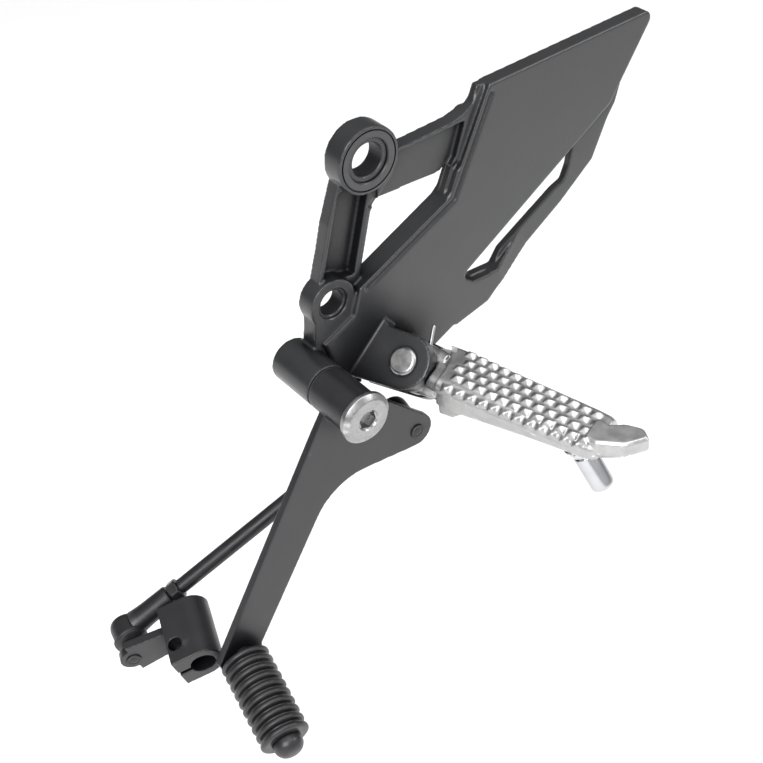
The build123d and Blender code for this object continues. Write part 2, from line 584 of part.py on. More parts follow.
def socket_axis(rod_dir):
    """Axis of a ball socket: the outboard direction, squared up to the rod."""
    return (OUTBOARD - rod_dir * OUTBOARD.dot(rod_dir)).normalized()


def ball_stud(centre, axis, plate_start, plate_t):
    """Ball with a necked shank, a collar against the plate and a staked end."""
    stud_plane = Plane(origin=centre, z_dir=axis)
    with BuildPart() as stud:
        with BuildSketch(Plane(origin=centre, x_dir=axis, z_dir=stud_plane.x_dir)) as profile:
            with BuildLine():
                Polyline(
                    (0, 0), (plate_start + plate_t + STAKE_H, 0),
                    (plate_start + plate_t + STAKE_H, STUD_R), (plate_start, STUD_R),
                    (plate_start, COLLAR_R), (plate_start - COLLAR_T, COLLAR_R),
                    (plate_start - COLLAR_T, NECK_R), (0, NECK_R), close=True,
                )
            make_face()
            Circle(BALL_R)
            with Locations((0, -BALL_R)):
                Rectangle(8 * BALL_R, 2 * BALL_R, mode=Mode.SUBTRACT)
        revolve(axis=Axis(centre, axis))
    return stud.part


def ball_socket(centre, rod_dir):
    """Housing round the ball, with a threaded shank along the rod."""
    axis = socket_axis(rod_dir)
    side = axis.cross(rod_dir)
    profile_plane = Plane(origin=centre, x_dir=axis, z_dir=side)
    shank_plane = Plane(origin=centre, x_dir=axis, z_dir=rod_dir)
    with BuildPart() as socket:
        with BuildSketch(profile_plane) as profile:
            with Locations(((SOCKET_FRONT - SOCKET_BACK) / 2, 0)):
                RectangleRounded(SOCKET_FRONT + SOCKET_BACK, 2 * SOCKET_R, 1.5)
            with Locations((0, -SOCKET_R)):
                Rectangle(8 * SOCKET_R, 2 * SOCKET_R, mode=Mode.SUBTRACT)
        revolve(axis=Axis(centre, axis))
        with BuildSketch(shank_plane):
            Circle(SHANK_R)
        extrude(amount=SOCKET_LENGTH)
        with BuildSketch(Plane(origin=centre, z_dir=axis)):
            Circle(MOUTH_R)
        extrude(amount=20, mode=Mode.SUBTRACT)
        with BuildSketch(shank_plane.offset(SOCKET_LENGTH - SOCKET_THREAD_DEPTH)):
            Circle(THREAD_R)
        extrude(amount=40, mode=Mode.SUBTRACT)
        with BuildSketch(profile_plane):
            Circle(BALL_R + RUN)
            with Locations((0, -BALL_R)):
                Rectangle(8 * BALL_R, 2 * BALL_R, mode=Mode.SUBTRACT)
        revolve(axis=Axis(centre, axis), mode=Mode.SUBTRACT)
    return socket.part


def ball_boot(centre, rod_dir, stud_axis):
    """Rubber cover from the socket's rim to the neck of the stud."""
    housing_plane = Plane(origin=centre, z_dir=socket_axis(rod_dir))
    stud_plane = Plane(origin=centre, z_dir=stud_axis)
    with BuildPart() as boot:
        with BuildSketch(housing_plane.offset(BOOT_FROM)):
            Circle(BOOT_R)
        with BuildSketch(housing_plane.offset(SOCKET_FRONT + 0.4)):
            Circle(BOOT_R)
        with BuildSketch(stud_plane.offset(BOOT_TO)):
            Circle(BOOT_END_R)
        loft(ruled=True)
        with BuildSketch(housing_plane.offset(BOOT_FROM)):
            Circle(SOCKET_R)
        extrude(amount=SOCKET_FRONT - BOOT_FROM, mode=Mode.SUBTRACT)
        with BuildSketch(housing_plane.offset(SOCKET_FRONT)):
            Circle(SOCKET_R - 0.8)
        with BuildSketch(stud_plane.offset(BOOT_TO)):
            Circle(NECK_R + 0.3)
        loft(ruled=True, mode=Mode.SUBTRACT)
        with BuildSketch(stud_plane.offset(BOOT_TO - 2)):
            Circle(NECK_R + 0.3)
        extrude(amount=4, mode=Mode.SUBTRACT)
    return boot.part


def lock_nut(centre, rod_dir):
    """Hexagon nut on the rod, against the end of a socket's shank."""
    with BuildPart() as nut:
        with BuildSketch(Plane(origin=centre + rod_dir * (SOCKET_LENGTH + NUT_GAP), z_dir=rod_dir)):
            RegularPolygon(NUT_AF / 2, 6, major_radius=False)
            Circle(THREAD_R, mode=Mode.SUBTRACT)
        extrude(amount=NUT_T)
    return nut.part


ENDS = (
    ("upper", UPPER_BALL, ROD_DIR, OUTBOARD, BALL_TO_LEVER, H_PLATE_FRONT - H_PLATE_BACK),
    ("lower", LOWER_BALL, -ROD_DIR, ARM_AXIS, BALL_TO_PLATE, ARM_PLATE_T),
)
for end, centre, rod_dir, stud_axis, plate_start, plate_t in ENDS:
    write(ball_stud(centre, stud_axis, plate_start, plate_t), f"{end}_ball_stud")
    write(ball_socket(centre, rod_dir), f"{end}_ball_socket")
    write(ball_boot(centre, rod_dir, stud_axis), f"{end}_boot")
    write(lock_nut(centre, rod_dir), f"{end}_lock_nut")

with BuildPart() as rod:
    thread_start = SOCKET_LENGTH - SOCKET_THREAD_DEPTH + 1
    with BuildSketch(Plane(origin=UPPER_BALL + ROD_DIR * thread_start, z_dir=ROD_DIR)):
        Circle(THREAD_R)
    extrude(amount=ROD_SPAN - 2 * thread_start)
    with BuildSketch(Plane(origin=UPPER_BALL + ROD_DIR * ROD_START, z_dir=ROD_DIR)):
        Circle(ROD_R)
    extrude(amount=ROD_SPAN - 2 * ROD_START)
write(rod.part, "shift_rod")

# ---------------------------------------------------------------- shift arm
ARM_DIR = (ARM_DIR - ARM_AXIS * ARM_DIR.dot(ARM_AXIS)).normalized()
arm_plane = Plane(origin=LOWER_BALL, x_dir=ARM_DIR, z_dir=ARM_AXIS)
with BuildPart() as arm:
    # plate from the ball stud to the barrel
    with BuildSketch(arm_plane.offset(BALL_TO_PLATE)):
        Circle(ARM_END_R)
        with Locations((ARM_REACH / 2, 0)):
            Trapezoid(2 * BARREL_R, ARM_REACH, 84, rotation=-90)
    extrude(amount=ARM_PLATE_T)
    # split clamp barrel
    barrel_base = BALL_TO_PLATE + ARM_PLATE_T + BARREL_AHEAD - BARREL_LENGTH
    with BuildSketch(arm_plane.offset(barrel_base)):
        with Locations((ARM_REACH, 0)):
            Circle(BARREL_R)
        with Locations((ARM_REACH - JAW_REACH / 2, 0)):
            Rectangle(JAW_REACH, 2 * BARREL_R)
    extrude(amount=BARREL_LENGTH)
    with BuildSketch(arm_plane.offset(barrel_base)):
        with Locations((ARM_REACH, 0)):
            Circle(CLAMP_BORE_R)
        with Locations((ARM_REACH - JAW_REACH / 2, 0)):
            Rectangle(JAW_REACH, SLIT_W)
    extrude(amount=BARREL_LENGTH, mode=Mode.SUBTRACT)
    # hole for the pinch bolt, across the slit
    pinch = LOWER_BALL + ARM_DIR * (ARM_REACH - PINCH_SIDE)
    pinch += ARM_AXIS * (barrel_base + BARREL_LENGTH - PINCH_BACK)
    with BuildSketch(Plane(origin=pinch, x_dir=ARM_DIR, z_dir=arm_plane.y_dir)):
        Circle(PINCH_R)
    extrude(amount=BARREL_R + 1, both=True, mode=Mode.SUBTRACT)
    with BuildSketch(arm_plane):
        Circle(STUD_R)
    extrude(amount=40, mode=Mode.SUBTRACT)
write(arm.part, "shift_arm")
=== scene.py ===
"""Looks of a left-hand motorcycle footrest: cast bracket, folding peg, shift lever and link rod."""
import json
import math

import bmesh
import bpy
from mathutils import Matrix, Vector


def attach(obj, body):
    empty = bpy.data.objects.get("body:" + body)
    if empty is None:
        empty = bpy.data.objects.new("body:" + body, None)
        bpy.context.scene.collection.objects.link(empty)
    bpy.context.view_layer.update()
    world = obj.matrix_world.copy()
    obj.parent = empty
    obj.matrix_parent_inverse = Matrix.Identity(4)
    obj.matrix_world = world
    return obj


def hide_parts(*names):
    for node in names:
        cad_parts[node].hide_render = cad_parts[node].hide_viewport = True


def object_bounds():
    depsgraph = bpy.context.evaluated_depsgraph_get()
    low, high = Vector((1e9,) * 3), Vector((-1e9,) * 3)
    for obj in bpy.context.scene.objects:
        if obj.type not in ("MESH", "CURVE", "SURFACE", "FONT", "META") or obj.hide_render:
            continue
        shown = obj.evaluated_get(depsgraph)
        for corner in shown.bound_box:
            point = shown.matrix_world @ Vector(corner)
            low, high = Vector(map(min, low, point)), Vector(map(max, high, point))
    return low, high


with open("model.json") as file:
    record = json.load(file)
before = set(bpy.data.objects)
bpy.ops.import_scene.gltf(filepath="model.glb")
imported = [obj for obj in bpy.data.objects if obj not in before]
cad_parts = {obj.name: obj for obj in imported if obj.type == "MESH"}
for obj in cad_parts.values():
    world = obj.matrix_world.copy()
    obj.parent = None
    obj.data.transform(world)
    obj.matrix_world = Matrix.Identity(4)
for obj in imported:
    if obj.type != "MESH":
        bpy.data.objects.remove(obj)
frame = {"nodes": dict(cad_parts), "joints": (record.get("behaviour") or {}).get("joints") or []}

CAD_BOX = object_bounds()
MM = 0.001
JOINTS = {joint["name"]: joint for joint in frame["joints"]}
OUTBOARD = Vector((0, -1, 0))

# Places and sizes in millimetres, in the frame of the CAD model.
UPPER_BOSS, UPPER_H = Vector((0, 0, 0)), 11.0
LOWER_BOSS, LOWER_H = Vector((-19.5, 0, -65.2)), 10.0
PIVOT = Vector((-35.0, 0, -95.0))
PEG_PIVOT = Vector(JOINTS["peg_fold"]["pos_m"]) / MM
FOLD_AXIS = Vector(JOINTS["peg_fold"]["axis"]).normalized()
PEG_DIR = Vector((0.300, -0.954, 0.045)).normalized()
PEG_UP = FOLD_AXIS.cross(PEG_DIR)
TREAD_TURN = math.radians(40)
TREAD_UP = FOLD_AXIS * math.cos(TREAD_TURN) + PEG_UP * math.sin(TREAD_TURN)
TREAD_ACROSS = TREAD_UP.cross(PEG_DIR)
TOE = Vector((-96.0, -37.0, -217.5))
TOE_DIR = Vector((-0.14, -0.945, -0.29)).normalized()
UPPER_BALL = Vector(JOINTS["rod_swing"]["pos_m"]) / MM
LOWER_BALL = Vector(JOINTS["arm_swing"]["pos_m"]) / MM
ARM_AXIS = Vector(JOINTS["arm_swing"]["axis"]).normalized()
ROD_DIR = (LOWER_BALL - UPPER_BALL).normalized()
ROD_SPAN = (LOWER_BALL - UPPER_BALL).length


# ---------------------------------------------------------------- mesh tools
def add_object(name, mesh):
    """A new object in the scene that shows the mesh."""
    piece = bpy.data.objects.new(name, mesh)
    bpy.context.scene.collection.objects.link(piece)
    return piece


def mesh_object(name, verts, faces):
    """A mesh object from points in millimetres, with its normals facing out."""
    mesh = bpy.data.meshes.new(name)
    mesh.from_pydata([tuple(Vector(v) * MM) for v in verts], [], faces)
    work = bmesh.new()
    work.from_mesh(mesh)
    bmesh.ops.recalc_face_normals(work, faces=work.faces)
    work.to_mesh(mesh)
    work.free()
    return add_object(name, mesh)


def apply_modifiers(piece):
    """Replaces a piece's mesh by the result of its modifiers."""
    graph = bpy.context.evaluated_depsgraph_get()
    mesh = bpy.data.meshes.new_from_object(piece.evaluated_get(graph))
    piece.modifiers.clear()
    before = piece.data
    piece.data = mesh
    bpy.data.meshes.remove(before)


def modify(piece, kind, **settings):
    """Adds one modifier, sets it and applies it."""
    modifier = piece.modifiers.new(kind, kind)
    for key, value in settings.items():
        setattr(modifier, key, value)
    apply_modifiers(piece)


def combine(piece, tools, operation):
    """Boolean with closed tools, which are then deleted."""
    for tool in tools:
        modify(piece, "BOOLEAN", object=tool, operation=operation, solver="MANIFOLD")
        bpy.data.objects.remove(tool)


def cad_copy(name, node):
    """A welded copy of a CAD node's mesh."""
    piece = add_object(name, frame["nodes"][node].data.copy())
    piece.data.materials.clear()
    work = bmesh.new()
    work.from_mesh(piece.data)
    bmesh.ops.remove_doubles(work, verts=work.verts, dist=1e-6)
    work.to_mesh(piece.data)
    work.free()
    return piece


def cast(piece, voxel, passes):
    """Rebuilds a piece as one skin with rounded edges and filled corners, as a casting has."""
    modify(piece, "REMESH", mode="VOXEL", voxel_size=voxel * MM, adaptivity=0.0)
    modify(piece, "SMOOTH", factor=0.5, iterations=passes)


def thin_out(piece, ratio):
    """Keeps that share of the faces."""
    modify(piece, "DECIMATE", ratio=ratio)


def shade(piece, angle=30):
    """Smooth shading, with an edge kept sharp where it turns by more than the angle in degrees."""
    piece.data.shade_smooth()
    piece.data.set_sharp_from_angle(angle=math.radians(angle))


def across(axis, start=None):
    """Two directions square to an axis, the first towards start."""
    first = Vector(start) if start else axis.orthogonal()
    first = (first - axis * first.dot(axis)).normalized()
    return first, axis.cross(first)


def rounded(profile, steps=4):
    """A profile of (height, radius) points; a third number in a point rounds its corner."""
    points = []
    for index, point in enumerate(profile):
        corner = Vector(point[:2])
        if len(point) < 3:
            points.append(tuple(corner))
            continue
        back = Vector(profile[index - 1][:2]) - corner
        ahead = Vector(profile[(index + 1) % len(profile)][:2]) - corner
        reach = min(point[2], back.length * 0.49, ahead.length * 0.49)
        enter, leave = corner + back.normalized() * reach, corner + ahead.normalized() * reach
        for step in range(steps + 1):
            t = step / steps
            points.append(tuple(enter * (1 - t) ** 2 + corner * 2 * t * (1 - t) + leave * t * t))
    return points


def lathe(name, profile, origin, axis, steps=96, start=None):
    """Closed surface turned round an axis from (height, radius) points; a radius may follow the angle."""
    first, second = across(axis, start)
    verts, rings = [], []
    for height, radius in profile:
        centre = origin + axis * height
        if radius == 0:
            rings.append([len(verts)])
            verts.append(centre)
            continue
        rings.append(list(range(len(verts), len(verts) + steps)))
        for step in range(steps):
            angle = 2 * math.pi * step / steps
            reach = radius(angle) if callable(radius) else radius
            verts.append(centre + (first * math.cos(angle) + second * math.sin(angle)) * reach)
    if len(rings[0]) > 1:
        rings.append(rings[0])
    faces = []
    for lower, upper in zip(rings, rings[1:]):
        for step in range(steps):
            after = (step + 1) % steps
            if len(lower) == 1 and len(upper) > 1:
                faces.append((lower[0], upper[after], upper[step]))
            elif len(upper) == 1 and len(lower) > 1:
                faces.append((lower[step], lower[after], upper[0]))
            elif len(lower) > 1:
                faces.append((lower[step], lower[after], upper[after], upper[step]))
    return mesh_object(name, verts, faces)


def hexagon(flats, limit=1e9):
    """Radius of a hexagon of that width across flats, cut off by a circle."""
    def radius(angle):
        turn = (angle + math.pi / 6) % (math.pi / 3) - math.pi / 6
        return min(flats / 2 / math.cos(turn), limit)
    return radius


def hex_head(flats, low, high, chamfer=0.9, steps=5):
    """Profile points of a hexagon whose corners are turned off at both ends."""
    corner = flats / 2 / math.cos(math.pi / 6)
    inner = flats / 2 * 0.97
    points = []
    for step in range(steps + 1):
        share = step / steps
        points.append((low + chamfer * share, hexagon(flats, inner + (corner - inner) * share)))
    for step in range(steps + 1):
        share = step / steps
        points.append((high - chamfer * (1 - share), hexagon(flats, corner + (inner - corner) * share)))
    return points


def prism(name, outline, low, high):
    """A flat outline of (X, Z) points, from one outboard height to another."""
    count = len(outline)
    verts = [(x, -height, z) for height in (low, high) for x, z in outline]
    faces = [list(range(count)), list(range(count, 2 * count))]
    faces += [(i, (i + 1) % count, count + (i + 1) % count, count + i) for i in range(count)]
    return mesh_object(name, verts, faces)


def loft(name, sections):
    """Closed skin through rings that have the same number of points."""
    count = len(sections[0])
    verts = [point for section in sections for point in section]
    faces = [list(range(count)), list(range(len(verts) - count, len(verts)))]
    for ring in range(len(sections) - 1):
        base = ring * count
        for i in range(count):
            j = (i + 1) % count
            faces.append((base + i, base + j, base + count + j, base + count + i))
    return mesh_object(name, verts, faces)


def join(name, pieces):
    """One object from several closed shells."""
    work = bmesh.new()
    for piece in pieces:
        work.from_mesh(piece.data)
        bpy.data.objects.remove(piece)
    mesh = bpy.data.meshes.new(name)
    work.to_mesh(mesh)
    work.free()
    return add_object(name, mesh)


def tube(name, points, radius, steps=16):
    """Round wire along points, with domed ends."""
    rings = []
    for index, point in enumerate(points):
        before, after = points[max(index - 1, 0)], points[min(index + 1, len(points) - 1)]
        direction = (after - before).normalized()
        if not rings:
            first, second = across(direction)
        else:
            first, second = across(direction, first)
        rings.append((point, direction, first.copy(), second.copy()))

    def circle(point, first, second, size):
        turns = [2 * math.pi * step / steps for step in range(steps)]
        return [point + (first * math.cos(t) + second * math.sin(t)) * size for t in turns]

    sections = []
    for tilt in (80, 55, 30):
        point, direction, first, second = rings[0]
        lean = math.radians(tilt)
        offset = direction * (-radius * math.sin(lean))
        sections.append(circle(point + offset, first, second, radius * math.cos(lean)))
    sections += [circle(point, first, second, radius) for point, _, first, second in rings]
    for tilt in (30, 55, 80):
        point, direction, first, second = rings[-1]
        lean = math.radians(tilt)
        offset = direction * (radius * math.sin(lean))
        sections.append(circle(point + offset, first, second, radius * math.cos(lean)))
    return loft(name, sections)


def thread_rings(start, end, radius, depth, pitch, steps=6):
    """Profile points of a screw thread; the radius follows the angle, so the crest is a helix."""
    points = []
    count = int((end - start) / pitch * steps)
    for index in range(count + 1):
        height = start + (end - start) * index / count
        fade = min(1.0, (height - start) / pitch, (end - height) / pitch)

        def reach(angle, height=height, fade=fade):
            phase = (height / pitch - angle / (2 * math.pi)) % 1.0
            return radius - depth * fade * (1 - abs(2 * phase - 1))

        points.append((height, reach))
    return points


# ---------------------------------------------------------------- materials
def surface(name, base, metallic, roughness, spread=0.08, grain=1400, grain_depth=0.03,
            waves=120, wave_depth=0.1, worn=None, wear=0.0, crease_shade=0.0, coat=0.0, hollow_shade_reach=0.0):
    """Procedural finish: uneven roughness, two sizes of bump, worn edges, painted shade in creases, and
    painted shade with dimmer reflection and coat in hollows.
    """
    material = bpy.data.materials.new(name)
    material.use_nodes = True
    nodes, links = material.node_tree.nodes, material.node_tree.links
    shader = nodes["Principled BSDF"]
    shader.inputs["Metallic"].default_value = metallic
    shader.inputs["Coat Weight"].default_value = coat
    shader.inputs["Coat Roughness"].default_value = 0.25
    place = nodes.new("ShaderNodeTexCoord")

    def noise_at(scale, detail):
        node = nodes.new("ShaderNodeTexNoise")
        node.inputs["Scale"].default_value = scale
        node.inputs["Detail"].default_value = detail
        links.new(place.outputs["Object"], node.inputs["Vector"])
        return node

    def spread_over(source, low, high, to_low, to_high):
        node = nodes.new("ShaderNodeMapRange")
        for key, value in (("From Min", low), ("From Max", high), ("To Min", to_low), ("To Max", to_high)):
            node.inputs[key].default_value = value
        links.new(source, node.inputs["Value"])
        return node.outputs["Result"]

    def mixed(factor, first, second):
        node = nodes.new("ShaderNodeMix")
        node.data_type = "RGBA"
        links.new(factor, node.inputs["Factor"])
        for socket, value in ((node.inputs["A"], first), (node.inputs["B"], second)):
            if isinstance(value, tuple):
                socket.default_value = (*value, 1)
            else:
                links.new(value, socket)
        return node.outputs["Result"]

    cloudy, fine = noise_at(waves, 4), noise_at(grain, 3)
    darker = tuple(channel * 0.82 for channel in base)
    colour = mixed(spread_over(cloudy.outputs["Fac"], 0.35, 0.65, 0, 1), darker, base)
    if worn or crease_shade:
        shape = nodes.new("ShaderNodeNewGeometry")
    # painted shade: low pointiness marks creases, whose colour is darkened towards a quarter of the base
    if crease_shade:
        crease_shade_mask = spread_over(shape.outputs["Pointiness"], 0.40, 0.49, crease_shade, 0)
        colour = mixed(crease_shade_mask, colour, tuple(channel * 0.25 for channel in base))
    if worn:
        edge = spread_over(shape.outputs["Pointiness"], 0.52, 0.60, 0, wear)
        colour = mixed(edge, colour, worn)
    # painted shade: ambient occlusion darkens hollows towards near black and dims their reflection and coat
    if hollow_shade_reach:
        shade_probe = nodes.new("ShaderNodeAmbientOcclusion")
        shade_probe.samples = 8
        shade_probe.inputs["Distance"].default_value = hollow_shade_reach * MM
        deep, shallow = 0.45, 0.95
        openness = shade_probe.outputs["AO"]
        links.new(spread_over(openness, deep, shallow, 0.12, 0.5), shader.inputs["Specular IOR Level"])
        links.new(spread_over(openness, deep, shallow, 0.0, coat), shader.inputs["Coat Weight"])
        colour = mixed(spread_over(openness, deep, shallow, 0.7, 0), colour, (0.003, 0.003, 0.004))
    links.new(colour, shader.inputs["Base Color"])
    uneven = spread_over(cloudy.outputs["Fac"], 0.3, 0.7, roughness - spread, roughness + spread)
    links.new(uneven, shader.inputs["Roughness"])
    wave_bump, grain_bump = nodes.new("ShaderNodeBump"), nodes.new("ShaderNodeBump")
    wave_bump.inputs["Distance"].default_value = wave_depth * MM
    grain_bump.inputs["Distance"].default_value = grain_depth * MM
    links.new(cloudy.outputs["Fac"], wave_bump.inputs["Height"])
    links.new(fine.outputs["Fac"], grain_bump.inputs["Height"])
    links.new(wave_bump.outputs["Normal"], grain_bump.inputs["Normal"])
    links.new(grain_bump.outputs["Normal"], shader.inputs["Normal"])
    return material


# painted shade in the hollows of the black casting and the black steel
BLACK_CASTING = surface("black_casting", (0.011, 0.0115, 0.013), 0.0, 0.37, spread=0.05, grain=1300,
                        grain_depth=0.05, waves=60, wave_depth=0.12, worn=(0.04, 0.04, 0.045), wear=0.5,
                        coat=0.4, hollow_shade_reach=26)
BLACK_STEEL = surface("black_steel", (0.009, 0.009, 0.011), 0.0, 0.38, spread=0.06, grain=1600,
                      grain_depth=0.03, waves=90, wave_depth=0.08, worn=(0.04, 0.04, 0.045), wear=0.5,
                      coat=0.1, hollow_shade_reach=12)
BLACK_HARDWARE = surface("black_hardware", (0.022, 0.022, 0.024), 0.5, 0.36, spread=0.08, grain=1800,
                         grain_depth=0.02, waves=150, wave_depth=0.03, worn=(0.10, 0.10, 0.10), wear=0.6)
# painted shade in the creases of the aluminium and the zinc
CAST_ALUMINIUM = surface("cast_aluminium", (0.46, 0.46, 0.458), 1.0, 0.38, spread=0.07, grain=1500,
                         grain_depth=0.05, waves=220, wave_depth=0.08, worn=(0.74, 0.74, 0.75), wear=0.8,
                         crease_shade=0.6)
CHROME = surface("chrome", (0.50, 0.51, 0.53), 1.0, 0.10, spread=0.04, grain=600, grain_depth=0.004,
                 waves=60, wave_depth=0.02)
ZINC = surface("zinc_steel", (0.34, 0.34, 0.34), 1.0, 0.30, spread=0.09, grain=1500, grain_depth=0.02,
               waves=260, wave_depth=0.05, worn=(0.6, 0.6, 0.6), wear=0.5, crease_shade=0.5)
RUBBER = surface("rubber", (0.012, 0.012, 0.013), 0.0, 0.38, spread=0.08, grain=2200, grain_depth=0.04,
                 waves=120, wave_depth=0.10, worn=(0.03, 0.03, 0.032), wear=0.5)


def finish_piece(piece, material, slot, body, *nodes):
    """Gives a piece its finish, its body and the CAD nodes that it stands for."""
    piece.data.materials.clear()
    piece.data.materials.append(material)
    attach(piece, body)
    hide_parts(*nodes)


# ---------------------------------------------------------------- bracket casting
def bore_tool(name, centre, radius, face, step_radius, step_depth, chamfer=0.5):
    """Cutter for a boss: through bore with broken edges and a shallow step at its outboard face."""
    floor, clear = face - step_depth, 4.0
    profile = [
        (-clear, 0), (-clear, radius + chamfer + clear), (chamfer, radius), (floor - chamfer, radius),
        (floor, radius + chamfer), (floor, step_radius), (face - chamfer, step_radius),
        (face + clear, step_radius + chamfer + clear), (face + clear, 0),
    ]
    return lathe(name, profile, centre, OUTBOARD, steps=128)


def offset_line(points, distance):
    """An open line of (X, Z) points moved sideways, with mitred corners."""
    moved = []
    for index, point in enumerate(points):
        sides = []
        for a, b in ((index - 1, index), (index, index + 1)):
            if 0 <= a and b < len(points):
                along = (Vector(points[b]) - Vector(points[a])).normalized()
                sides.append(Vector((along.y, -along.x)))
        normal = sum(sides, Vector((0, 0))).normalized()
        moved.append(Vector(point) + normal * distance / normal.dot(sides[0]))
    return [tuple(point) for point in moved]


# heights of the heel guard and of its rail above the inboard face, and of the metal that both share
H_GUARD, H_RAIL, H_SHARED = 12.0, 8.0, 7.0
GUARD_EDGE = [(-4.0, -60.9), (45.5, -33.6), (65.0, 13.0)]
GROOVE_NEAR, GROOVE_FAR, GROOVE_FLOOR = 1.8, 3.8, 10.6
# lines where the slope below the long slot leaves the guard and where it meets the rail
RAMP_HEAD, RAMP_FOOT = ((76.5, -84.5), (80.0, -93.0)), ((93.0, -69.8), (98.6, -79.6))
RAMP_ROOT = [(72.0, -84.5), *RAMP_HEAD, (78.0, -94.7), (72.0, -90.0)]
SEAM = [(50.6, -90.0), (57.0, -90.0), (57.0, -104.8), (52.0, -106.4), (50.1, -105.9)]


def boss_plug(centre, height, radius):
    """Fills a boss, so that its bore is cut anew after the casting is rounded."""
    inboard = 0.2
    profile = [(inboard, 0), (inboard, radius), (height, radius), (height, 0)]
    return lathe("plug", profile, centre, OUTBOARD)


def ramp_end(line, top):
    """Upright rectangle under a line of two (X, Z) points."""
    corners = (*line, *line[::-1])
    return [(x, -height, z) for (x, z), height in zip(corners, (top, top, H_SHARED, H_SHARED))]


def make_bracket():
    bracket = cad_copy("bracket_skin", "bracket_casting")
    plugs = [boss_plug(UPPER_BOSS, UPPER_H, 14.9), boss_plug(LOWER_BOSS, LOWER_H, 10.0)]
    combine(bracket, plugs, "UNION")
    # bead and groove along the guard's inner edge
    groove = offset_line(GUARD_EDGE, GROOVE_NEAR) + offset_line(GUARD_EDGE, GROOVE_FAR)[::-1]
    combine(bracket, [prism("groove", groove, GROOVE_FLOOR, H_GUARD + 2.0)], "DIFFERENCE")
    # the guard slopes down to its rail below the long slot, and its two plates meet above the clevis
    fills = [
        loft("ramp", [ramp_end(RAMP_HEAD, H_GUARD), ramp_end(RAMP_FOOT, H_RAIL + 0.02)]),
        prism("ramp_root", RAMP_ROOT, H_SHARED, H_GUARD),
        prism("seam", SEAM, H_SHARED, H_GUARD),
    ]
    combine(bracket, fills, "UNION")
    cast(bracket, voxel=0.55, passes=6)
    ring = [(10.4, 13.8), (10.4, 14.3), (12.0, 14.6), (12.0, 13.5)]
    tools = [
        bore_tool("bore", UPPER_BOSS, radius=7.85, face=UPPER_H, step_radius=10.3, step_depth=1.2),
        bore_tool("bore", LOWER_BOSS, radius=6.15, face=LOWER_H, step_radius=7.6, step_depth=1.0),
        lathe("ring", ring, UPPER_BOSS, OUTBOARD, steps=128),
    ]
    combine(bracket, tools, "DIFFERENCE")
    thin_out(bracket, ratio=0.45)
    shade(bracket, angle=40)
    finish_piece(bracket, BLACK_CASTING, "black_casting", "bracket", "bracket_casting")


# ---------------------------------------------------------------- foot peg
TREAD_START = 19.0
# stations of the body and of its neck: distance, half width, tread height and keel height
STATIONS = [
    (12.0, 13.0, 10.45, -11.5), (19.0, 13.4, 10.0, -12.4), (30.0, 13.2, 9.2, -12.6),
    (60.0, 12.7, 7.1, -10.4), (82.0, 12.3, 5.6, -9.5), (90.0, 12.1, 5.0, -9.5),
    (95.0, 11.6, 4.7, -8.2), (97.5, 10.6, 4.3, -6.0),
]
NECK_STATIONS = [
    (8.5, 10.8, 8.9, -8.0), (13.0, 11.9, 8.9, -9.2), (19.0, 12.6, 8.6, -11.5), (23.0, 12.8, 8.4, -12.0),
]
# outlines of (distance, sideways) points: the end nub at three levels; the stop block is (distance, up)
NUB = [
    (92.0, -10.5), (98.0, -11.5), (110.0, -7.0), (117.0, 1.2), (112.0, 6.0), (104.0, 5.0), (98.0, 1.0),
    (92.0, 3.0),
]
NUB_TOP = [
    (92.0, -9.3), (98.4, -10.2), (109.4, -6.0), (115.6, 1.0), (111.6, 4.8), (104.2, 3.9), (98.2, 0.2),
    (92.0, 1.8),
]
NUB_FOOT = [
    (92.0, -8.0), (98.0, -8.0), (106.0, -4.0), (110.0, 0.5), (107.0, 3.0), (101.0, 2.5), (97.0, 1.0),
    (92.0, 2.0),
]
STOP = [(15.0, -4.0), (15.0, -16.0), (22.0, -16.0), (27.0, -12.0), (27.0, -4.0)]
STOP_HALF = 8.0
TOOTH_LONG, TOOTH_WIDE, TOOTH_H = 4.9, 4.0, 1.45
TOOTH_PITCH, TEETH_IN_ROW = 6.0, 12
ROW_PITCH, ROW_MIDDLE, ROW_LEAN = 5.2, -0.7, -0.065
SHOULDER_ROW = -2
BODY_LEAN = -0.02
CLEVIS_ROOM_R, TREAD_ARC_R = 13.5, 18.6


def peg_point(along, sideways, up):
    """A place on the peg, from its fold axis, its middle and its tread's base plane."""
    return PEG_PIVOT + PEG_DIR * along + TREAD_ACROSS * sideways + TREAD_UP * up


def body_middle(along):
    """The body's middle wanders a little sideways along its length."""
    return BODY_LEAN * (along - TREAD_START)


def body_measures(along):
    """Half width and tread height at a distance from the fold axis."""
    for (s0, w0, t0, _), (s1, w1, t1, _) in zip(STATIONS, STATIONS[1:]):
        if along <= s1:
            share = (along - s0) / (s1 - s0)
            return w0 + (w1 - w0) * share, t0 + (t1 - t0) * share
    return STATIONS[-1][1:3]


def body_ring(along, half, top, keel):
    """Outline across the peg: crowned tread, bevelled shoulders, upright skirt and narrower keel."""
    outline = [(8.0, keel, 2.5), (half - 2.5, top - 8.6, 1.2), (half, top - 7.0, 1.0),
               (half, top - 3.2, 1.6), (half - 2.6, top - 0.5, 1.6)]
    outline += [(0, top + 0.2, 6.0)] + [(-x, y, r) for x, y, r in reversed(outline)]
    middle = body_middle(along)
    return [peg_point(along, middle + side, up) for side, up in rounded(outline, 3)]


